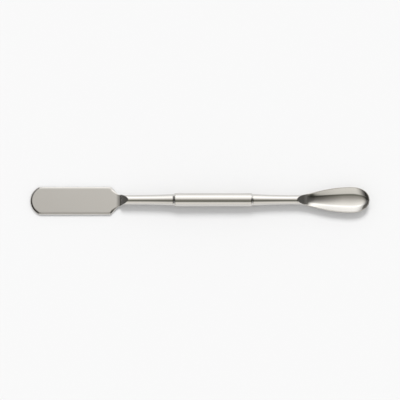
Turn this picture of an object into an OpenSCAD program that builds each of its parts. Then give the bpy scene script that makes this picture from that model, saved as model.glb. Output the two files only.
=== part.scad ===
// Double-ended laboratory spatula: one bar of stainless steel, turned to a
// grip between two slim necks, then forged to a flat blade at one end and to
// a small scoop at the other. It lies on the bench: X runs from the blade to
// the scoop, Z is up, and the origin is on the bench under the middle.

/* [Overall] */
// Length from the blade's round end to the scoop's tip
overall_length = 180; // [165:1:220]
// How far the grip's middle sits from the middle of the length, towards the scoop
grip_offset = 7.3; // [-6:0.1:12]

/* [Grip and necks] */
// Length of the thick grip
grip_length = 41.6; // [28:0.1:56]
// Diameter of the grip
grip_diameter = 7.3; // [6.8:0.1:9]
// Diameter of the shaft at the foot of the grip's steps
root_diameter = 6.3; // [5.8:0.1:6.5]
// Diameter of the neck beside the blade
blade_neck_diameter = 5.2; // [4.6:0.1:5.8]
// Diameter of the neck beside the scoop
scoop_neck_diameter = 5.1; // [4.6:0.1:5.8]
// Length over which the shaft narrows from the grip to a neck
waist_length = 23; // [14:0.5:24]
// Length of the rounded edge at each end of the grip
grip_edge = 0.9; // [0.5:0.1:2]

/* [Blade] */
// Length of the blade from its round end to the start of its shoulders
blade_length = 43; // [30:0.1:52]
// Width of the blade
blade_width = 15; // [12:0.1:18]
// Thickness of the blade
blade_thickness = 1.6; // [1.2:0.1:2.2]
// Radius of the blade's round end
end_radius = 8.3; // [7.6:0.1:12]
// Radius of the blade's rounded upper edge
blade_edge = 1; // [0.3:0.05:1.5]
// Radius of that edge round the end
end_edge = 1.45; // [0.5:0.05:1.5]
// Radius of that edge along the shoulders
shoulder_edge = 1.5; // [0.5:0.05:1.8]
// Length of the shoulders, from the blade's full width to the point of the ramp
shoulder_length = 9.5; // [8.5:0.1:12]
// Share of that length over which the shoulders' straight flanks run
flank_share = 0.54; // [0.45:0.01:0.7]
// Length of the ramp that climbs from the blade to the neck's crest
ramp_length = 4.4; // [3:0.1:6]
// Slope of the ramp just above its foot, as rise over run
ramp_slope = 0.9; // [0.6:0.05:1]
// How much the blade's face rises before the ramp
foot_rise = 0.25; // [0:0.05:0.6]
// Length over which it rises
foot_length = 2.5; // [1.5:0.1:3]

/* [Scoop] */
// Length of the scoop's hollow from the point where it cuts the neck to the tip
scoop_length = 38.2; // [30:0.1:46]
// Greatest width of the scoop
scoop_width = 13.8; // [11:0.1:17]
// Height of the scoop's rim above the bench
scoop_height = 4.3; // [3.8:0.1:5.5]
// Thickness of the scoop's floor at its lowest point
scoop_floor = 1.2; // [0.6:0.05:1.4]
// Height of the scoop's underside above the bench at that point
scoop_lift = 0.65; // [0:0.05:1]
// Width of the flat land on top of the scoop's rim
rim_land = 0.45; // [0.3:0.05:0.7]
// Distance from the tip back to the scoop's widest place
nose_length = 9.7; // [7:0.1:12]
// Distance from the tip back to the scoop's lowest place
belly_distance = 13.7; // [12:0.1:20]
// Slope of the hollow's steep start, as rise over run
entry_slope = 0.4; // [0.3:0.05:0.7]
// Radius of the hollow's long floor, seen from the side
floor_radius = 85; // [60:1:120]
// Distance from the middle to the crease where the hollow's walls begin
crease_half = 3.1; // [2:0.1:4.5]
// Radius of the scoop's long flanks, seen from above
flank_radius = 69; // [50:1:110]

/* [Hidden] */
steel = [0.72, 0.71, 0.69];

// places along X
tip_x = overall_length / 2;
blade_end_x = -overall_length / 2;
shoulder_x = blade_end_x + blade_length;
blade_neck_x = shoulder_x + shoulder_length;
grip_start_x = grip_offset - grip_length / 2;
grip_end_x = grip_offset + grip_length / 2;
hollow_x = tip_x - scoop_length;
belly_x = tip_x - belly_distance;
widest_x = tip_x - nose_length;

// heights
axis_z = grip_diameter / 2;
scoop_crest_z = axis_z + scoop_neck_diameter / 2;
lowest_z = scoop_lift + scoop_floor; // the lowest point of the scoop's hollow

// how the lofted ends are drawn
seat = 1.2; // how far a lofted end reaches into the turned shaft
slack = 0.03; // how much slimmer it is in there
grid = 0.0001; // points closer than this are one point
neck_lead = 1.8; // the shaft stops this far short of the scoop's hollow
free_lead = 1.5; // and from here to the hollow the scoop's own skin shows
face_rings = 12; // rings from the blade's shoulder to the foot of the ramp
ramp_rings = 14; // rings up the ramp
hollow_rings = 40;
edge_steps = 6; // points round the blade's upper edge
side_steps = 4; // points across a shoulder's underside, and up its side
outer_steps = 12; // points from the scoop's rim to its keel
inner_steps = 12; // points from the scoop's rim to the middle of its floor

// how the sections turn from one shape to the next
step_power = 0.8; // shape of the grip's rounded edge
flank_fillet = 2.2; // size of the fillet between the shoulders and the neck
round_from = 0.08; // share of the shoulders where the section starts to turn round
round_over = 0.55; // and the share over which it does
lean_lead = 1.5; // length over which the edge takes up the shoulders' slant
ramp_step = 3.5; // slope of the short step at the ramp's foot
ramp_bulge = 1.4; // and how the ramp flattens towards its crest
ramp_crowd = 1.5; // and its rings are closer together at its foot
lowest_cut = 0.95; // lowest place, as a share of its radius, where the neck's section is cut open
wall_share = 0.4; // lowest place where a shoulder's side may end, between its foot and its top

rim_drop = 6; // length over which the hollow's edge falls from the neck's crest to the rim
rim_fall = 1.5; // and how that fall slows down towards the rim
neck_blend = 2; // size of the fillet between the neck and the flanks
entry_blend = 0.8; // size of the fillet between the hollow's steep start and its floor
nose_plan = 2.2; // squareness of the nose seen from above
nose_keel = 3.4; // squareness of the nose's underside, seen from the side
nose_floor = 5; // squareness of the hollow at the nose, seen from the side
keel_round = [2, 1.75]; // squareness of the section under the rim, at the neck and at the belly
keel_over = 0.5; // share of the way to the belly over which that changes
keel_lead = 3.6; // length by which the underside starts to change before the hollow
wall_part = 0.6; // share of the hollow's depth that its walls add beyond the crease
crease_round = 0.4; // how gently the crease turns
crease_share = 0.48; // where the hollow is narrow, the crease keeps to this share of its half width
land_start = 0.15; // width of the rim's land at the hollow's point, as a share of its full width

// 0 to 1 with a soft start and a soft end
function ease(t) = let (u = min(max(t, 0), 1)) u * u * (3 - 2 * u);
function mix(a, b, t) = a + (b - a) * t;
// the larger of two lengths, with a fillet where they cross
function soft_max(a, b, k) = max(a, b) + pow(max(k - abs(a - b), 0), 2) / (4 * k);
// quarter of a superellipse: 1 at t = 0, 0 at t = 1
function nose(t, n) = pow(max(1 - pow(min(max(t, 0), 1), n), 0), 1 / n);

// ---- turned shaft ----

// The shaft's radius at a distance from the grip's step
function waist(d, neck_r) = neck_r + (root_diameter / 2 - neck_r) * pow(max(1 - d / waist_length, 0), 2);

// The rounded edge of the grip, from the foot of the step (t = 0) to full diameter
function edge_radius(t) = mix(root_diameter, grip_diameter, sin(90 * pow(t, step_power))) / 2;

module shaft() {
    steps = 12;
    scoop_end_x = hollow_x - neck_lead;
    left = [for (i = [0:steps]) let (x = mix(blade_neck_x, grip_start_x, i / steps))
        [x, waist(grip_start_x - x, blade_neck_diameter / 2)]];
    left_edge = [for (i = [1:5]) [grip_start_x + grip_edge * i / 5, edge_radius(i / 5)]];
    right_edge = [for (i = [5:-1:1]) [grip_end_x - grip_edge * i / 5, edge_radius(i / 5)]];
    right = [for (i = [0:steps]) let (x = mix(grip_end_x, scoop_end_x, i / steps))
        [x, waist(x - grip_end_x, scoop_neck_diameter / 2)]];
    outline = concat(left, left_edge, right_edge, right);
    translate([0, 0, axis_z])
        rotate([0, 90, 0])
            rotate_extrude($fn = 96)
                polygon(concat(
                    [[0, blade_neck_x]],
                    [for (p = outline) [p[1], p[0]]],
                    [[0, scoop_end_x]]
                ));
}

// ---- lofts ----

// A closed solid through rings that have the same number of points. Points
// that coincide make no triangle, so the last ring may close to an edge.
module loft(rings, closes_itself = false) {
    n = len(rings[0]);
    last = len(rings) - 1;
    middle = function (ring) [for (k = [0:2]) [for (p = ring) p[k]] * [for (p = ring) 1 / n]];
    points = [
        for (r = rings, p = r) [for (v = p) round(v / grid) * grid],
        middle(rings[0]),
        middle(rings[last])
    ];
    hub = len(points) - 2;
    faces = [
        for (j = [0:last - 1], i = [0:n - 1])
            let (a = j * n + i, b = j * n + (i + 1) % n)
            each [[a, b, b + n], [a, b + n, a + n]],
        for (i = [0:n - 1]) [hub, (i + 1) % n, i],
        if (!closes_itself) for (i = [0:n - 1]) [hub + 1, last * n + i, last * n + (i + 1) % n]
    ];
    polyhedron(
        points,
        [for (f = faces) let (a = points[f[0]], b = points[f[1]], c = points[f[2]])
            if (a != b && b != c && c != a) f]
    );
}

// ---- blade ----

// Half the blade's width along its shoulders, running out into the neck
function shoulder_half(x) =
    let (slope = (blade_width - blade_neck_diameter) / 2 / (shoulder_length * flank_share))
    soft_max(blade_width / 2 - (x - shoulder_x) * slope, blade_neck_diameter / 2, flank_fillet);

// Height of the blade's face and of the ramp, up to the crest of the neck
function ramp_z(x) =
    let (
        foot_x = blade_neck_x - ramp_length,
        swept = min(max((x - foot_x) / foot_length + 1, 0), 1),
        left = max((blade_neck_x - x) / ramp_length, 0),
        face = blade_thickness + foot_rise * swept * swept,
        drop = ramp_slope * ramp_length / ramp_bulge * pow(left, ramp_bulge)
    )
    max(face, min(face + (x - foot_x) * ramp_step, axis_z + blade_neck_diameter / 2 - drop));

// A rounded upper edge of radius 1: from the side (i = 0) to the face, as [inwards, up]
function edge_point(i) = [1 - cos(90 * i / edge_steps), sin(90 * i / edge_steps) - 1];

// The flat part of the blade: a plate with a round end and a rounded upper edge
module plate() {
    half = blade_width / 2;
    edge = [for (i = [0:edge_steps]) edge_point(i)];
    right = [for (p = edge) [half - blade_edge * p[0], blade_thickness + blade_edge * p[1]]];
    left = [for (i = [edge_steps:-1:0]) [-right[i][0], right[i][1]]];
    intersection() {
        translate([blade_end_x, 0, 0])
            rotate([90, 0, 90])
                linear_extrude(blade_length)
                    polygon(concat([[-half, 0], [half, 0]], right, left));
        translate([blade_end_x + end_radius, 0, 0]) {
            rotate_extrude($fn = 96)
                polygon(concat(
                    [[0, 0], [end_radius, 0]],
                    [for (p = edge) [end_radius - end_edge * p[0], blade_thickness + end_edge * p[1]]],
                    [[0, blade_thickness]]
                ));
            translate([0, -half, 0])
                cube([blade_length, blade_width, blade_thickness]);
        }
    }
}

// Half of a shoulder's ring, from the middle of its underside up to the edge of
// its top, which turns from the plate's section into the neck's round one.
function shoulder_side(x) =
    let (
        t = (x - shoulder_x) / shoulder_length,
        roundness = ease((t - round_from) / round_over),
        top = ramp_z(x),
        half = shoulder_half(x),
        lean = (shoulder_half(x + grid) - shoulder_half(x - grid)) / (2 * grid),
        lead = ease((x - shoulder_x) / lean_lead),
        edge = mix(blade_edge, shoulder_edge, lead),
        inset = edge * mix(1, sqrt(1 + lean * lean), lead),
        r = blade_neck_diameter / 2 - slack,
        low = mix(0, axis_z - r, ease(t)),
        wall = max(top - edge, mix(low, top, wall_share)),
        top_angle = asin(min(max((top - axis_z) / r, -lowest_cut), 1)),
        spread = (half - slack) / cos(min(top_angle, 0)),
        plate_points = [
            for (i = [0:side_steps - 1]) [half * i / side_steps, low],
            for (i = [0:side_steps - 1]) [half, mix(low, wall, i / side_steps)],
            for (i = [0:edge_steps]) let (p = edge_point(i))
                [half - inset * p[0], top + (top - wall) * p[1]]
        ],
        count = len(plate_points) - 1
    )
    [for (i = [0:count])
        let (
            angle = mix(-90, top_angle, i / count),
            round_point = [spread * cos(angle), axis_z + r * sin(angle)],
            p = mix(plate_points[i], round_point, roundness)
        )
        [x, p[0], i == count ? mix(top, round_point[1], roundness) : p[1]]];

module shoulders() {
    foot_x = blade_neck_x - ramp_length;
    places = concat(
        [for (j = [0:face_rings]) mix(shoulder_x, foot_x, j / face_rings)],
        [for (j = [1:ramp_rings]) mix(foot_x, blade_neck_x, pow(j / ramp_rings, ramp_crowd))]
    );
    rings = [for (x = places)
        let (side = shoulder_side(x))
        concat([for (i = [len(side) - 1:-1:0]) side[i]], [for (p = side) [p[0], -p[1], p[2]]])];
    collar = [for (p = rings[len(rings) - 1]) [p[0] + seat, p[1], p[2]]];
    loft(concat(rings, [collar]));
}

// ---- scoop ----

// Half the scoop's outer width
function scoop_half(x) =
    let (
        full = scoop_width / 2,
        back = min(widest_x - x, flank_radius),
        flank = full - flank_radius + sqrt(max(pow(flank_radius, 2) - pow(back, 2), 0))
    )
    x > widest_x ? full * nose((x - widest_x) / nose_length, nose_plan)
        : soft_max(flank, scoop_neck_diameter / 2, neck_blend);

// Height of the hollow's edge: the crest of the neck at first, then the rim
function rim_z(x) =
    let (left = 1 - min(max((x - hollow_x) / rim_drop, 0), 1))
    mix(scoop_height, scoop_crest_z, pow(left, rim_fall));

// Height of the widest place of the section, which rises from the axis to the rim
function waterline_z(x) = mix(axis_z, scoop_height, ease((x - hollow_x) / rim_drop));

// Height of the underside
function keel_z(x) =
    x > belly_x ? mix(scoop_height, scoop_lift, nose((x - belly_x) / belly_distance, nose_keel))
        : mix(
            axis_z - scoop_neck_diameter / 2,
            scoop_lift,
            ease((x - hollow_x + keel_lead) / (belly_x - hollow_x))
        );

// Height of the hollow's floor along its middle: a steep start from the crest,
// a long arc down to the belly, then a rounded rise to the tip
function floor_z(x) =
    x > belly_x ? mix(scoop_height, lowest_z, nose((x - belly_x) / (belly_distance - rim_land), nose_floor))
        : soft_max(
            lowest_z + pow(belly_x - x, 2) / (2 * floor_radius),
            scoop_crest_z - (x - hollow_x) * entry_slope,
            entry_blend
        );

// Half the width between the hollow's outer edges
function edge_half(x) =
    let (rise = min((rim_z(x) - waterline_z(x)) / (scoop_neck_diameter / 2), 1))
    scoop_half(x) * sqrt(max(1 - rise * rise, 0));

// Half the width of the hollow itself, inside the land
function hollow_half(x) =
    let (inner_nose = nose_length - rim_land, inner_full = scoop_width / 2 - rim_land)
    x > widest_x ? inner_full * nose((x - widest_x) / inner_nose, nose_plan)
        : max(edge_half(x) - rim_land * mix(land_start, 1, ease((x - hollow_x) / rim_drop)), 0);

// How the hollow's walls rise beyond the creases, at a distance from the middle
function wall_rise(y, crease) =
    norm([y - crease, crease_round]) + norm([y + crease, crease_round]) - 2 * norm([crease, crease_round]);

// How the hollow's section rises from the middle of its floor (0) to its edge (1)
function trough(y, half) =
    let (crease = min(crease_half, crease_share * half))
    half <= 0 ? 1
        : (1 - wall_part) * pow(y / half, 2) + wall_part * wall_rise(y, crease) / wall_rise(half, crease);

// The outer side of the scoop, from the hollow's edge down to the keel
function scoop_side(x) =
    let (
        slim = x < hollow_x - free_lead ? slack : 0,
        half = scoop_half(x) - slim,
        line = waterline_z(x),
        up = scoop_neck_diameter / 2 - slim,
        down = line - keel_z(x) - slim,
        top_angle = asin(min(max((rim_z(x) - line) / (scoop_neck_diameter / 2), 0), 1)),
        n = mix(keel_round[0], keel_round[1], ease((x - hollow_x) / (belly_x - hollow_x) / keel_over))
    )
    [for (k = [0:outer_steps])
        let (angle = mix(top_angle, -90, k / outer_steps))
        angle >= 0 ? [x, half * cos(angle), line + up * sin(angle)]
            : [x, half * pow(cos(angle), 2 / n), line - down * pow(-sin(angle), 2 / n)]];

// A ring of the scoop: its outer side, and its hollow where it has one
function scoop_ring(x_out, x_in) =
    let (
        side = scoop_side(x_out),
        far = [for (k = [outer_steps - 1:-1:0]) [side[k][0], -side[k][1], side[k][2]]],
        half = hollow_half(x_in),
        low = min(floor_z(x_in), rim_z(x_in)),
        hollow = [for (m = [-inner_steps:inner_steps]) let (v = m / inner_steps)
            x_in <= hollow_x ? side[0] : [x_in, half * v, mix(low, rim_z(x_in), trough(half * v, half))]]
    )
    concat(side, far, hollow);

module scoop() {
    start_x = hollow_x - neck_lead;
    places = [start_x - seat, hollow_x - 1.1 * free_lead, hollow_x - free_lead / 2];
    lead = [for (x = places) scoop_ring(x, x)];
    body = [for (j = [0:hollow_rings])
        let (along = (1 - cos(180 * j / hollow_rings)) / 2)
        scoop_ring(hollow_x + scoop_length * along, hollow_x + (scoop_length - rim_land) * along)];
    loft(concat(lead, body), closes_itself = true);
}

module spatula() {
    color(steel) {
        plate();
        shoulders();
        shaft();
        scoop();
    }
}

spatula();
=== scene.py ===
# %% [markdown]
# # A lab spatula in polished stainless steel
#
# The real tool is one bar of stainless steel. A lathe leaves the thick grip and
# the two slim necks, a forge flattens one end to a blade and dishes the other to
# a scoop, and a polishing wheel finishes it. This lesson builds that bar as one
# continuous skin, gives it a steel whose polish changes along its length, and
# sets it on a pale table in a soft, even studio light.

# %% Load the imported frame
import math
import bmesh
import bpy
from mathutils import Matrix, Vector


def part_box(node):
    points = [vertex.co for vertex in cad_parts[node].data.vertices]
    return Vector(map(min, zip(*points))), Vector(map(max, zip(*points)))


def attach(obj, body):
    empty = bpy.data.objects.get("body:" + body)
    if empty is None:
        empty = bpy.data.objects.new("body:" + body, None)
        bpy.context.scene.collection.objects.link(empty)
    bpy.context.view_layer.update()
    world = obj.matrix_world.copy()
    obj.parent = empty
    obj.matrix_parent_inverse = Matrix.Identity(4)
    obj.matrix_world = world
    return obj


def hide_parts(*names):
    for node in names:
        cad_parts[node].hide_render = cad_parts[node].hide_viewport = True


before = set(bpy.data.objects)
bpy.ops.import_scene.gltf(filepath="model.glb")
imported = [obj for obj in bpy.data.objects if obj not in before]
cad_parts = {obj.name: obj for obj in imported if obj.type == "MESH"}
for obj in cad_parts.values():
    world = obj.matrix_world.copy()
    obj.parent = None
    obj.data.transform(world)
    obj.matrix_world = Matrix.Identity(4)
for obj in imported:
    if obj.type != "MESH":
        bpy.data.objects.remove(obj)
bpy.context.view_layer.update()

scene = bpy.context.scene

# %% [markdown]
# ## The sizes
#
# Blender works in metres, but a hand tool is easier to think about in
# millimetres, so the sizes are in millimetres and one number, `MM`, turns them
# into metres when the mesh is made. The three overall sizes are read from the
# frame. The others are the ones a maker's drawing would give.

# %% Overall sizes from the frame, and the drawing's other sizes
MM = 0.001
low, high = (Vector(corner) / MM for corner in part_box("spatula"))
length = high.x - low.x
blade_width = high.y - low.y
grip_diameter = high.z - low.z
axis_z = low.z + grip_diameter / 2

grip_middle = 7.3  # towards the scoop from the middle of the length
grip_length = 41.6
grip_edge = 0.9
root_radius = 3.15
waist_length = 23.0
blade_neck = 2.6  # radius of the neck beside the blade
scoop_neck = 2.55  # radius of the neck beside the scoop

blade_length = 43.0
blade_thickness = 1.6
blade_edge = 1.0  # radius of the rounded upper edge along the sides
end_edge = 1.45  # round the end
shoulder_edge = 1.5  # and along the shoulders
end_radius = 8.3
corner_radius = 1.6
shoulder_length = 9.5
flank_share = 0.54
flank_fillet = 2.2
ramp_length = 4.4
ramp_slope = 0.9  # rise over run, just above the step at its foot
foot_rise = 0.25
foot_length = 2.5

scoop_length = 38.2
scoop_width = 13.8
scoop_height = 4.3
scoop_floor = 1.2
scoop_lift = 0.65  # height of the underside above the table
rim_land = 0.45
nose_length = 9.7
belly_distance = 13.7
entry_slope = 0.4
floor_radius = 85.0
crease_half = 3.1
flank_radius = 69.0
rim_drop = 6.0  # length over which the rim comes down from the neck's crest
print(f"the bar is {length:.1f} mm long, {blade_width:.1f} mm wide and {grip_diameter:.1f} mm high")

# %% Places along the bar
blade_end = low.x
shoulder_start = blade_end + blade_length
blade_neck_x = shoulder_start + shoulder_length
grip_start = grip_middle - grip_length / 2
grip_end = grip_middle + grip_length / 2
hollow_start = high.x - scoop_length
belly_x = high.x - belly_distance
widest_x = high.x - nose_length
scoop_crest = axis_z + scoop_neck
lowest = scoop_lift + scoop_floor
print(f"blade to {shoulder_start:.1f}, grip {grip_start:.1f} to {grip_end:.1f},",
      f"hollow from {hollow_start:.1f} mm")

# %% [markdown]
# ## Small tools for curves
#
# Forged metal has no hard jumps: one curve runs into the next. A few small
# functions make every such transition in this file. `mix` goes straight from one
# value to another, `ease` goes from 0 to 1 with a soft start and a soft end,
# `soft_max` joins two curves with a fillet, and `nose` is the quarter of a
# superellipse that closes a rounded end: the higher its power, the blunter.

# %% Curve helpers
def mix(a, b, t):
    return a + (b - a) * t


def clamp(t, smallest=0.0, largest=1.0):
    return max(smallest, min(largest, t))


def ease(t):
    t = clamp(t)
    return t * t * (3 - 2 * t)


def soft_max(a, b, size):
    return max(a, b) + max(size - abs(a - b), 0) ** 2 / (4 * size)


def nose(t, power):
    return max(1 - clamp(t) ** power, 0) ** (1 / power)


print("ease(0.25) =", ease(0.25), " nose(0.5, 2.2) =", round(nose(0.5, 2.2), 3))

# %% [markdown]
# ## One skin, made of rings
#
# The bar could be a cylinder, a plate and a bowl pushed into each other, but the
# joins would show, because polished steel reflects every seam. So the whole bar
# is one skin of rings, like ribs along a boat. Each ring starts at the edge of
# the top face, goes down one side, under the keel and up to the other edge. Where
# the bar is round the two edges meet at its crest. Only half a ring is worked
# out, and the other half is its mirror image.

# %% How finely the skin is drawn
half_steps = 36  # segments in half a ring
edge_round = 0.10  # radius that softens each sharp edge
edge_steps = 10  # segments round the blade's upper edge


def full_ring(half):
    """A whole ring from its +Y half, which runs from the top edge to the keel."""
    far = [(x, -y, z) for x, y, z in reversed(half[:-1])]
    return half + far


def round_half(x, radius, top_angle=90.0, reach=None):
    """Half a round section, from an angle above the axis down to the keel, `reach` wide."""
    reach = radius if reach is None else reach
    angles = [math.radians(mix(top_angle, -90.0, i / half_steps)) for i in range(half_steps + 1)]
    return [(x, reach * math.cos(a), axis_z + radius * math.sin(a)) for a in angles]


print("a full ring has", len(full_ring(round_half(0.0, 1.0))), "points")

# %% [markdown]
# ## The turned shaft
#
# The shaft comes straight off the lathe, so it needs only a radius at each place.
# The necks narrow along a parabola, fast beside the grip and then hardly at all.
# The grip stands 0.5 mm proud of its roots, and its two edges are rounded, which
# is what catches the light as a short bright line.

# %% Radius of the shaft
grip_roll = 0.8  # below 1, the grip's edge rises faster at its foot


def shaft_radius(x):
    """Radius at x, from the blade's neck to the scoop's neck."""
    if grip_start <= x <= grip_end:
        inside = clamp(min(x - grip_start, grip_end - x) / grip_edge)
        return mix(root_radius, grip_diameter / 2, math.sin(math.pi / 2 * inside ** grip_roll))
    neck = blade_neck if x < grip_start else scoop_neck
    away = max(grip_start - x, x - grip_end)
    return neck + (root_radius - neck) * max(1 - away / waist_length, 0) ** 2


def spread(start, stop, count):
    """Evenly spaced places, with both ends."""
    return [mix(start, stop, i / count) for i in range(count + 1)]


neck_lead = 1.8  # length of neck that the scoop's own rings take over
shaft_places = (
    spread(blade_neck_x, grip_start, 34)[1:]
    + spread(grip_start, grip_start + grip_edge, 8)[1:]
    + spread(grip_start + grip_edge, grip_end - grip_edge, 24)[1:]
    + spread(grip_end - grip_edge, grip_end, 8)[1:]
    + spread(grip_end, hollow_start - neck_lead, 34)[1:]
)
shaft_rings = [full_ring(round_half(x, shaft_radius(x))) for x in shaft_places]
print("shaft:", len(shaft_rings), "rings, radius", round(shaft_radius(grip_middle), 2), "mm at the grip")

# %% [markdown]
# ## The blade's outline
#
# Seen from above the blade is a strip with a round end. Its outline is an arc, a
# small corner, a straight side, and a shoulder that runs into the neck with a
# fillet. Each place on the outline is kept with its outward direction, because
# the rounded edge is the same width all the way round and has to be measured
# square to the outline.

# %% Outline of the blade, from its tip to the neck
shoulder_corner = 0.6  # how widely the side's corner with the shoulder is rounded
corner_reach = 1.5  # how far before the shoulder that rounding starts


def shoulder_half(x):
    """Half the width at x, beyond the round end."""
    slope = (blade_width / 2 - blade_neck) / (shoulder_length * flank_share)
    full = blade_width / 2
    down = full - (x - shoulder_start) * slope
    softened = -soft_max(-full, -down, shoulder_corner)
    return soft_max(softened, blade_neck, flank_fillet)


def blade_outline():
    """(x, y, outward x, outward y) along the +Y side."""
    centre_x = blade_end + end_radius
    corner_y = blade_width / 2 - corner_radius
    corner_x = centre_x - math.sqrt((end_radius - corner_radius) ** 2 - corner_y ** 2)
    turn = math.atan2(corner_y, centre_x - corner_x)
    places = []
    for a in spread(0.0, turn, 34):
        out = (-math.cos(a), math.sin(a))
        places.append((centre_x + end_radius * out[0], end_radius * out[1], *out))
    for a in spread(turn, math.pi / 2, 8)[1:]:
        out = (-math.cos(a), math.sin(a))
        corner = (corner_x + corner_radius * out[0], corner_y + corner_radius * out[1])
        places.append((*corner, *out))
    side_end = shoulder_start - corner_reach
    step = 0.001
    for x in spread(corner_x, side_end, 30)[1:] + spread(side_end, blade_neck_x, 120)[1:]:
        y = shoulder_half(x)
        lean = (shoulder_half(x + step) - shoulder_half(x - step)) / (2 * step)
        size = math.hypot(lean, 1.0)
        places.append((x, y, -lean / size, 1.0 / size))
    return places


outline = blade_outline()
print("blade outline:", len(outline), "places, widest", round(2 * max(p[1] for p in outline), 2), "mm")

# %% [markdown]
# ## The blade and its shoulders
#
# The forged plate is 1.6 mm thick. Polishing has rolled its upper edge, by 1 mm
# along the sides and by nearly the whole thickness round the end and along the
# shoulders, and that is what draws a dark and a bright line along it. Where the
# plate meets the round neck the metal climbs a short ramp, whose face is a
# triangle. The ramp has a small step at its foot and then a slope of less than
# 45 degrees, easing to flat at its crest: a slope just over 45 degrees would
# mirror the pale table as a bright bar across it. Every ring is a blend of two
# sections: the plate's, with its rolled edge, and the neck's, cut off at the
# height of the ramp.

# %% Ramp, and the section of the plate
step_slope = 3.5  # of the step at the ramp's foot, rise over run
ramp_power = 1.4  # how the ramp eases to flat at its crest


def ramp_z(x):
    """Height of the blade's upper face, and of the ramp up to the neck's crest."""
    foot_x = blade_neck_x - ramp_length
    swept = clamp((x - foot_x) / foot_length + 1)
    left = max((blade_neck_x - x) / ramp_length, 0.0)
    face = blade_thickness + foot_rise * swept ** 2
    step = face + (x - foot_x) * step_slope
    slope = axis_z + blade_neck - ramp_slope * ramp_length / ramp_power * left ** ramp_power
    return max(face, min(step, slope))


def arc(centre, radius, start, stop, count):
    """Points on an arc, as (inward, up), from one angle to another in degrees."""
    angles = [math.radians(mix(start, stop, i / count)) for i in range(count + 1)]
    return [(centre[0] - radius * math.cos(a), centre[1] + radius * math.sin(a)) for a in angles]


rolled_edge = arc((1, -1), 1, 90, 0, edge_steps)
foot_edge = arc((edge_round, edge_round), edge_round, 0, -90, 4)
print("the plate's edge has", len(rolled_edge) + len(foot_edge), "points")


# %% Half rings of the blade
end_roll = 3.0  # length of the end that has the larger edge
end_fade = 4.0  # and the length over which it passes into the sides' edge
shoulder_fade = 1.5  # length over which that passes into the shoulders' edge
turn_start, turn_span = 0.08, 0.55  # where the section turns round, in shoulder lengths


def edge_size(x):
    """Radius of the rolled edge, which is larger round the end and along the shoulders."""
    along_sides = mix(end_edge, blade_edge, ease((x - blade_end - end_roll) / end_fade))
    return mix(along_sides, shoulder_edge, ease((x - shoulder_start) / shoulder_fade))


def plate_half(place, top):
    """Half of the plate's ring at a place on the outline, for a height of its face."""
    x, y, out_x, out_y = place
    size = edge_size(x)
    bottom = mix(0.0, axis_z - blade_neck, ease((x - shoulder_start) / shoulder_length))
    depth = min(size, top - bottom - 2 * edge_round)
    edge = [(inward * size, top + up * depth) for inward, up in rolled_edge]
    edge += [(inward, bottom + up) for inward, up in foot_edge]
    points = [(x - inward * out_x, max(y - inward * out_y, 0.0), z) for inward, z in edge]
    foot_x, foot_y, foot_z = points[-1]
    row = half_steps + 1 - len(points)
    return points + [(foot_x, foot_y * (1 - i / row), foot_z) for i in range(1, row + 1)]


def blade_half(place):
    """Half a ring that turns from the plate into the neck."""
    x, y, out_x, _ = place
    roundness = ease(((x - shoulder_start) / shoulder_length - turn_start) / turn_span)
    top = ramp_z(x - (1 - roundness) * edge_size(x) * out_x)
    top_angle = math.asin(clamp((top - axis_z) / blade_neck, -1.0, 1.0))
    reach = y / math.cos(min(top_angle, 0.0))
    turned = round_half(x, blade_neck, math.degrees(top_angle), reach)
    plate = plate_half(place, top)
    return [tuple(mix(a, b, roundness) for a, b in zip(p, q)) for p, q in zip(plate, turned)]


blade_halves = [blade_half(place) for place in outline]
blade_rings = [full_ring(half) for half in blade_halves]
print("blade:", len(blade_rings), "rings")

# %% [markdown]
# The face of the blade and the ramp are rows from one edge to the other. At the
# tip and at the neck's crest the rows shrink to a point, which closes the face.

# %% Rows across the blade's face
face_steps = 20


def face_row(half):
    """Points across the upper face between a half ring's edge and its mirror image."""
    x, y, z = half[0]
    return [(x, y * (1 - 2 * i / face_steps), z) for i in range(face_steps + 1)]


face_rows = [face_row(half) for half in blade_halves]
print("blade face:", len(face_rows), "rows")

# %% [markdown]
# ## The scoop
#
# The scoop is the same bar, spread and dished. Its outline swells along a long
# arc to its widest place and closes in a blunt nose. Its underside drops from the
# neck to just above the table and rises to the tip. The hollow cuts the neck's
# crest at a point, so the edge starts as a V and opens into the rim, with a narrow
# flat land that keeps the rim from being sharp. Across the hollow a nearly flat
# floor turns at two creases into steeper walls, and the creases draw its two dark
# lines. A plain round bowl would blur them into one.

# %% Curves of the scoop
outline_nose, keel_nose, floor_nose = 2.2, 3.4, 5.0  # powers of the three noses
rim_power = 1.5  # how the rim comes down, fast at first
neck_fillet = 2.0  # between the neck and the scoop's outline
entry_fillet = 0.8  # between the V's slope and the floor


def scoop_half_width(x):
    full = scoop_width / 2
    if x > widest_x:
        return full * nose((x - widest_x) / nose_length, outline_nose)
    back = min(widest_x - x, flank_radius)
    flank = full - flank_radius + math.sqrt(flank_radius ** 2 - back ** 2)
    return soft_max(flank, scoop_neck, neck_fillet)


def rim_z(x):
    """Height of the rim, which comes down from the neck's crest."""
    left = 1 - clamp((x - hollow_start) / rim_drop)
    return mix(scoop_height, scoop_crest, left ** rim_power)


def waterline_z(x):
    """Height at which the section is widest."""
    return mix(axis_z, scoop_height, ease((x - hollow_start) / rim_drop))


def keel_z(x):
    """Height of the underside along its middle."""
    if x > belly_x:
        return mix(scoop_height, scoop_lift, nose((x - belly_x) / belly_distance, keel_nose))
    along = (x - hollow_start + 2 * neck_lead) / (belly_x - hollow_start)
    return mix(axis_z - scoop_neck, scoop_lift, ease(along))


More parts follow.
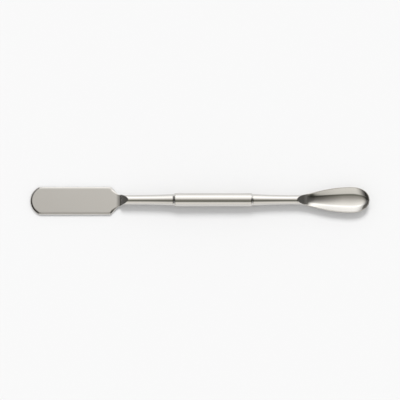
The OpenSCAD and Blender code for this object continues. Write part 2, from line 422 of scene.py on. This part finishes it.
def floor_z(x):
    """Height of the hollow's floor along its middle."""
    if x > belly_x:
        t = (x - belly_x) / (belly_distance - rim_land)
        return mix(scoop_height, lowest, nose(t, floor_nose))
    long_arc = lowest + (belly_x - x) ** 2 / (2 * floor_radius)
    return soft_max(long_arc, scoop_crest - (x - hollow_start) * entry_slope, entry_fillet)


print("scoop depth at the belly:", round(scoop_height - floor_z(belly_x), 2), "mm")


# %% Widths of the hollow, and its section
first_land = 0.15  # share of the rim's land that is there at the V's point
crease_share = 0.48  # of the hollow's half width, where the hollow is narrow
crease_soft = 0.4  # how softly the floor turns into the walls
floor_part, wall_part = 0.4, 0.6  # of the section's rise


def land_width(x):
    return rim_land * mix(first_land, 1.0, ease((x - hollow_start) / rim_drop))


def edge_half_width(x):
    rise = min((rim_z(x) - waterline_z(x)) / scoop_neck, 1.0)
    return scoop_half_width(x) * math.sqrt(max(1 - rise ** 2, 0.0))


def hollow_half_width(x):
    if x > widest_x:
        past = (x - widest_x) / (nose_length - rim_land)
        return (scoop_width / 2 - rim_land) * nose(past, outline_nose)
    return max(edge_half_width(x) - land_width(x), 0.0)


def wall_rise(y, crease):
    """How the walls rise beyond the creases of the hollow's floor."""
    sides = math.hypot(y - crease, crease_soft) + math.hypot(y + crease, crease_soft)
    return sides - 2 * math.hypot(crease, crease_soft)


def trough(y, half):
    """How the hollow's section rises, from the middle of its floor (0) to its edge (1)."""
    if half <= 0:
        return 1.0
    crease = min(crease_half, crease_share * half)
    walls = wall_part * wall_rise(y, crease) / wall_rise(half, crease)
    return floor_part * (y / half) ** 2 + walls


print("hollow width at its widest:", round(2 * hollow_half_width(widest_x), 2), "mm")


# %% Rings of the scoop's outside
neck_power, belly_power = 2.0, 1.75  # of the section: an ellipse, then slightly leaner
lowering_power = 6  # keeps the rim's rounding close to the rim


def rim_soft(x):
    """How far the rim's two edges are rounded down."""
    return min(edge_round, land_width(x) / 3, edge_half_width(x) / 3)


def scoop_outer_half(x):
    """Half a ring of the outside, from the rim down to the keel."""
    half, line = scoop_half_width(x), waterline_z(x)
    start = (rim_z(x) - line) / scoop_neck
    drop = rim_soft(x) if x > hollow_start else 0.0
    top = math.degrees(math.asin(clamp(start)))
    power = mix(neck_power, belly_power, ease((x - hollow_start) / (belly_x - hollow_start) * 2))
    points = []
    for i in range(half_steps + 1):
        a = math.radians(mix(top, -90.0, i / half_steps))
        lowered = drop * (1 - i / half_steps) ** lowering_power
        if a >= 0:
            points.append((x, half * math.cos(a), line + scoop_neck * math.sin(a) - lowered))
        else:
            y = half * max(math.cos(a), 0.0) ** (2 / power)
            z = line - (line - keel_z(x)) * (-math.sin(a)) ** (2 / power)
            points.append((x, y, z - lowered * clamp(line - keel_z(x))))
    return points


scoop_steps = 110
along = [(1 - math.cos(math.pi * j / scoop_steps)) / 2 for j in range(scoop_steps + 1)]
outer_places = [hollow_start + scoop_length * t for t in along]
inner_places = [hollow_start + (scoop_length - rim_land) * t for t in along]
lead_places = spread(hollow_start - neck_lead, hollow_start, 8)[1:-1]
scoop_rings = [full_ring(scoop_outer_half(x)) for x in lead_places + outer_places]
print("scoop outside:", len(scoop_rings), "rings")

# %% [markdown]
# The rim is a strip between the outside and the hollow, in five narrow bands. The
# middle one is the flat land, and the others round its two edges. The hollow is
# made of rows across, as the blade's face is.

# %% The rim and the hollow
# each place across the rim, and how much of the rounding is taken off there
rim_bands = [(0.0, 1.0), (0.08, 0.3), (0.25, 0.0), (0.75, 0.0), (0.92, 0.3), (1.0, 1.0)]
hollow_steps = 44


def rim_row(x_out, x_in):
    """Points from the outside's edge in to the hollow's, on the +Y side."""
    outside = scoop_outer_half(x_out)[0]
    inside = (x_in, hollow_half_width(x_in), rim_z(x_in))
    row = []
    for t, down in rim_bands:
        z = mix(rim_z(x_out), rim_z(x_in), t) - down * rim_soft(mix(x_out, x_in, t))
        row.append((mix(outside[0], inside[0], t), mix(outside[1], inside[1], t), z))
    row[0] = outside
    return row


def hollow_row(x_out, x_in):
    """Points across the hollow, between the two inner edges of the rim."""
    x, half, edge = rim_row(x_out, x_in)[-1]
    floor = min(floor_z(x_in), edge)
    spans = [1 - 2 * i / hollow_steps for i in range(hollow_steps + 1)]
    return [(x, half * v, mix(floor, edge, trough(half * v, half))) for v in spans]


pairs = list(zip(outer_places, inner_places))
rim_rows = [rim_row(*pair) for pair in pairs]
far_rim_rows = [[(x, -y, z) for x, y, z in row] for row in rim_rows]
hollow_rows = [hollow_row(*pair) for pair in pairs]
lowest_point = min(p[2] for row in hollow_rows for p in row)
print("hollow:", len(hollow_rows), "rows, lowest", round(lowest_point, 2), "mm")

# %% [markdown]
# ## From rows to a mesh
#
# Five sheets of rows make the skin: the outside, the blade's face, the rim's two
# sides and the hollow. They share their edge points exactly, so welding points
# that coincide closes the skin, and the triangles that vanish where a row shrinks
# to a point are dissolved. The printed check is the one that matters for a solid:
# no edge may be left open.

# %% Build the skin
def add_sheet(mesh, rows):
    """Faces between neighbouring rows of points."""
    grid = [[mesh.verts.new(Vector(p) * MM) for p in row] for row in rows]
    for near, far in zip(grid, grid[1:]):
        for i in range(len(near) - 1):
            mesh.faces.new((near[i], near[i + 1], far[i + 1], far[i]))


weld = 0.004 * MM  # points closer than this are one point
skin = bmesh.new()
outside_rings = blade_rings + shaft_rings + scoop_rings
for sheet in (outside_rings, face_rows, rim_rows, far_rim_rows, hollow_rows):
    add_sheet(skin, sheet)
bmesh.ops.remove_doubles(skin, verts=skin.verts, dist=weld)
bmesh.ops.dissolve_degenerate(skin, edges=skin.edges, dist=weld / 4)
bmesh.ops.recalc_face_normals(skin, faces=skin.faces)
open_edges = [e for e in skin.edges if len(e.link_faces) != 2]
print("skin:", len(skin.faces), "faces,", len(open_edges), "open edges, volume",
      round(skin.calc_volume() / MM ** 3), "mm3")

spatula_mesh = bpy.data.meshes.new("spatula_skin")
skin.to_mesh(spatula_mesh)
skin.free()
for face in spatula_mesh.polygons:
    face.use_smooth = True
spatula = bpy.data.objects.new("spatula_steel", spatula_mesh)
scene.collection.objects.link(spatula)

# %% [markdown]
# Smooth shading averages the normals of neighbouring faces, and beside a flat
# face that would make the flat look swollen. A Weighted Normal modifier lets the
# big faces win, so the flats stay flat and only the narrow roundings turn.

# %% Keep the flats flat
flats = spatula.modifiers.new("flat_faces", "WEIGHTED_NORMAL")
flats.mode = "FACE_AREA"
flats.weight = 60
flats.keep_sharp = False
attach(spatula, "root")
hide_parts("spatula")
print("modifiers:", [m.type for m in spatula.modifiers])

# %% [markdown]
# ## Writing shaders as sums
#
# A shader is a graph of nodes, and a long sum drawn as nodes is hard to read. The
# class below wraps a node's output so that Python's own `+`, `-`, `*` and `/` add
# the Math nodes. Every other node comes from `add`, which sets a node's settings
# first, because they can change its sockets, and then its inputs.

# %% A wrapper for node outputs
class Wire:
    """One output of a node. Sums with numbers or other wires add Math nodes."""

    def __init__(self, graph, socket):
        self.graph, self.socket = graph, socket

    def math(self, operation, *values):
        links = dict(enumerate(values))
        return self.graph.add("ShaderNodeMath", {"operation": operation}, links)

    def __add__(self, other):
        return self.math("ADD", self, other)

    def __sub__(self, other):
        return self.math("SUBTRACT", self, other)

    def __rsub__(self, other):
        return self.math("SUBTRACT", other, self)

    def __mul__(self, other):
        return self.math("MULTIPLY", self, other)

    def __truediv__(self, other):
        return self.math("DIVIDE", self, other)

    __radd__ = __add__
    __rmul__ = __mul__

    def clamp(self):
        """The same value, kept between 0 and 1."""
        limits = {"operation": "ADD", "use_clamp": True}
        return self.graph.add("ShaderNodeMath", limits, {0: self, 1: 0.0})

    def output(self, name):
        return Wire(self.graph, self.socket.node.outputs[name])


class Graph:
    """The node tree of a material or a world."""

    def __init__(self, owner):
        owner.use_nodes = True
        self.tree = owner.node_tree
        self.tree.nodes.clear()

    def add(self, kind, settings=None, links=None, output=0):
        node = self.tree.nodes.new(kind)
        for name, value in (settings or {}).items():
            if name == "stops":
                self.set_stops(node.color_ramp, value)
            else:
                setattr(node, name, value)
        for name, value in (links or {}).items():
            if isinstance(value, Wire):
                self.tree.links.new(value.socket, node.inputs[name])
            else:
                node.inputs[name].default_value = value
        return Wire(self, node.outputs[output]) if len(node.outputs) else node

    def set_stops(self, ramp, stops):
        while len(ramp.elements) < len(stops):
            ramp.elements.new(1.0)
        for element, (place, value) in zip(ramp.elements, stops):
            element.position = place
            element.color = (*value, 1.0) if isinstance(value, tuple) else (value, value, value, 1.0)


print("Wire and Graph are ready")

# %% [markdown]
# ## The steel
#
# Polished stainless is a metal, so almost all of its look is what it reflects,
# and what makes it believable is how sharp that reflection is from place to
# place. The shaft and the scoop come off a buffing wheel and reflect like a
# slightly dull mirror. The blade is finished on a belt and is satin, with fine
# scratches along its length. Handling leaves faint smears. All of it is worked
# out from the place on the bar, so no image is needed. Two sockets carry most of
# the finish: Roughness says how sharp the reflection is, and a very low Bump
# breaks it up along the grain, which a flat roughness alone can't do.

# %% Places on the bar, for the shader
steel = bpy.data.materials.new("polished_stainless")
graph = Graph(steel)
place = graph.add("ShaderNodeTexCoord").output("Object")
split = graph.add("ShaderNodeSeparateXYZ", {}, {0: place})
x = split.output("X") / MM


def step_up(value, start, stop):
    """0 below start, 1 above stop, straight between."""
    return ((value - start) / (stop - start)).clamp()


on_blade = 1 - step_up(x, shoulder_start, blade_neck_x - 1.5)
on_scoop = step_up(x, hollow_start, hollow_start + 3.0)
on_grip = step_up(x, grip_start, grip_start + 1.0) * (1 - step_up(x, grip_end - 1.0, grip_end))
print("masks: blade, scoop and grip")


# %% Grain, scratches and smears
def noise(scale, detail=2.0, roughness=0.5):
    """A noise from 0 to 1, at so many waves per millimetre along each axis."""
    stretched = graph.add(
        "ShaderNodeVectorMath", {"operation": "MULTIPLY"}, {0: place, 1: [s / MM for s in scale]}
    )
    return graph.add("ShaderNodeTexNoise", {}, {"Vector": stretched, "Scale": 1.0, "Detail": detail,
                                                "Roughness": roughness})


belt_grain = noise((0.05, 9.0, 3.0), 3.0)
lathe_grain = noise((8.0, 0.05, 0.05), 3.0)
buffing = noise((0.25, 2.5, 2.5), 3.0)
smears = noise((0.10, 0.22, 0.22), 4.0, 0.6)
specks = noise((1.6, 1.6, 1.6), 2.0)
print("five noises made")

# %% Finish of the steel
satin = 0.16 + (belt_grain - 0.5) * 0.12
mirror = 0.10 + (buffing - 0.5) * 0.05 + on_grip * 0.01
roughness = on_blade * satin + (1 - on_blade) * mirror + (smears - 0.5) * 0.06
shade = 0.5 + (smears - 0.5) * 0.5 + (belt_grain - 0.5) * 0.35 * on_blade + (specks - 0.5) * 0.15
colour = graph.add(
    "ShaderNodeMix", {"data_type": "RGBA"},
    {"Factor": shade.clamp(), "A": (0.63, 0.61, 0.58, 1.0), "B": (0.70, 0.685, 0.66, 1.0)},
    output="Result",
)
print("roughness and colour are sums of the noises")

# %% Relief of the steel, and the shader
on_shaft = (1 - on_blade) * (1 - on_scoop)
height = belt_grain * on_blade * 0.9 + lathe_grain * on_shaft * 0.25 + buffing * on_scoop * 0.5
bump = graph.add("ShaderNodeBump", {}, {"Height": height, "Strength": 0.25, "Distance": 0.00002})
shader = graph.add(
    "ShaderNodeBsdfPrincipled", {},
    {"Base Color": colour, "Metallic": 1.0, "Roughness": roughness.clamp(), "Normal": bump},
)
graph.add("ShaderNodeOutputMaterial", {}, {"Surface": shader})
spatula.data.materials.append(steel)
print("steel has", len(graph.tree.nodes), "nodes")

# %% [markdown]
# ## The table
#
# A plain sheet of white board, much larger than the view, so that it also fills
# the steel's reflections of everything below the horizon. It could be a box, but
# only its upper face is ever seen, so one face is enough.

# %% Table
table_half = 1.6
table_mesh = bpy.data.meshes.new("table_top")
corners = [(-table_half, -table_half, 0), (table_half, -table_half, 0), (table_half, table_half, 0),
           (-table_half, table_half, 0)]
table_mesh.from_pydata(corners, [], [(0, 1, 2, 3)])
table = bpy.data.objects.new("table_top", table_mesh)
scene.collection.objects.link(table)
board = bpy.data.materials.new("white_board")
board_graph = Graph(board)
board_shader = board_graph.add(
    "ShaderNodeBsdfPrincipled", {},
    {"Base Color": (0.80, 0.80, 0.80, 1.0), "Roughness": 0.9, "Specular IOR Level": 0.1},
)
board_graph.add("ShaderNodeOutputMaterial", {}, {"Surface": board_shader})
table.data.materials.append(board)
print("table:", 2 * table_half, "m square")

# %% [markdown]
# ## The studio
#
# A mirror is only as good as the room around it. The room could be built from
# glowing panels, but their hard edges would show in the steel. So it is a
# procedural world: its brightness depends on the direction that one looks in.
# Across the bar there is a wide soft window on the far side, a dark strip overhead
# on the near side of it, and a pale wall on the near side. Towards the two ends of
# the bar the room falls off to dark, which draws the ramp and the rolled edges.
# Past the scoop's end the window and the wall reach further before they darken,
# which keeps the slopes that face that way bright. Only the steel's reflections
# see this room. The matt table is lit by an even pale fill, so that its tone stays
# plain.

# %% The room across the bar
world = bpy.data.worlds.new("studio")
scene.world = world
sky = Graph(world)
view = sky.add("ShaderNodeTexCoord").output("Generated")
look = sky.add("ShaderNodeSeparateXYZ", {}, {0: view})
along_bar, across_bar, up = look.output("X"), look.output("Y"), look.output("Z")
brightest = 2.0  # a ramp's colours stop at 1, so they are divided by this, then multiplied


def at_angle(degrees):
    """Where an angle from overhead, positive to the far side, lies on the ramp."""
    return 0.5 + degrees / 360.0


# degrees from overhead, and the room's colour there
overhead = [
    (-180, (0.90, 0.90, 0.88)), (-90, (0.87, 0.86, 0.82)), (-69, (1.04, 1.02, 0.975)),
    (-50, (0.88, 0.865, 0.82)), (-36, (0.20, 0.20, 0.175)), (-16, (0.22, 0.22, 0.19)),
    (0, (0.48, 0.465, 0.43)), (8, (0.81, 0.795, 0.765)), (17, (1.14, 1.12, 1.08)),
    (34, (1.40, 1.40, 1.38)), (53, (1.90, 1.90, 1.88)), (73, (1.35, 1.35, 1.34)),
    (98, (0.95, 0.95, 0.94)), (180, (0.90, 0.90, 0.88)),
]
angle = across_bar.math("ARCTAN2", across_bar, up) / math.tau + 0.5
room = sky.add("ShaderNodeValToRGB",
               {"stops": [(at_angle(a), tuple(v / brightest for v in c)) for a, c in overhead]},
               {"Fac": angle})
print("room: a ramp of", len(overhead), "colours across the bar")

# %% Falloff towards the bar's ends, and the finished world
to_scoop_end = along_bar.math("GREATER_THAN", along_bar, 0.0)
window_side = ((across_bar - 0.1) / 0.4).clamp() * to_scoop_end
wall_side = ((-0.4 - across_bar) / 0.3).clamp() * to_scoop_end
window_widening, wall_widening = 0.75, 0.5  # how much of the falloff each takes away
reach = along_bar * (1 - window_side * window_widening - wall_side * wall_widening)
# how far along the bar one looks, from 0 to 1, and the share of the light left there
ends = [(0.0, 1.0), (0.04, 0.99), (0.105, 0.91), (0.19, 0.70), (0.26, 0.55), (0.33, 0.40),
        (0.45, 0.20), (0.60, 0.125), (1.0, 0.09)]
falloff = sky.add("ShaderNodeValToRGB", {"stops": ends}, {"Fac": reach.math("ABSOLUTE", reach)})
seen = sky.add("ShaderNodeMix", {"data_type": "RGBA", "blend_type": "MULTIPLY"},
               {"Factor": 1.0, "A": room, "B": falloff}, output="Result")
fill_strength = 0.72
reflected = sky.add("ShaderNodeBackground", {}, {"Color": seen, "Strength": brightest})
fill = sky.add("ShaderNodeBackground", {}, {"Color": (1.0, 1.0, 1.0, 1.0), "Strength": fill_strength})
in_steel = sky.add("ShaderNodeLightPath").output("Is Glossy Ray")
studio = sky.add("ShaderNodeMixShader", {}, {0: in_steel, 1: fill, 2: reflected})
sky.add("ShaderNodeOutputWorld", {}, {"Surface": studio})
print("studio world has", len(sky.tree.nodes), "nodes")

# %% [markdown]
# One broad lamp stands in for the window's direct light. Its width sets how soft
# the shadow's edge is, and its height how far the shadow falls. The steel already
# mirrors the window in the world, so the lamp is kept out of its reflections, or
# the window would be there twice.

# %% Lamp
lamp_data = bpy.data.lights.new("window_light", "SUN")
lamp_data.energy = 1.90
lamp_data.angle = math.radians(24)
lamp_data.color = (1.0, 1.0, 1.0)
lamp = bpy.data.objects.new("window_light", lamp_data)
lamp_height = math.radians(51)
to_lamp = Vector((0.0, math.cos(lamp_height), math.sin(lamp_height)))
lamp.rotation_euler = to_lamp.to_track_quat("Z", "Y").to_euler()
scene.collection.objects.link(lamp)
lamp.visible_glossy = False
print("lamp is", round(math.degrees(lamp_height)), "degrees above the table")

# %% [markdown]
# ## The camera
#
# The camera hangs almost straight above the bar, leaning 8 degrees to the near
# side, with a long lens so that the bar's ends are not stretched.

# %% Camera
camera_data = bpy.data.cameras.new("camera")
camera = bpy.data.objects.new("camera", camera_data)
scene.collection.objects.link(camera)
scene.camera = camera
camera_height = math.radians(82)  # its angle above the table
distance = 0.90
view_width = 0.2120  # at the aim, in metres
aim = Vector((0.00034, 0.00016, 0.0025))  # the middle of the view
back = Vector((0.0, -math.cos(camera_height), math.sin(camera_height)))
camera.location = aim + back * distance
camera.rotation_euler = back.to_track_quat("Z", "Y").to_euler()
camera_data.sensor_width = 36.0
camera_data.lens = camera_data.sensor_width * distance / view_width
camera_data.clip_start = 0.01
camera_data.clip_end = 20.0
scene.view_settings.view_transform = "Standard"
print(f"lens {camera_data.lens:.0f} mm at {distance} m")

# %% [markdown]
# ## The end

# %% Finish
print("the scene is built")
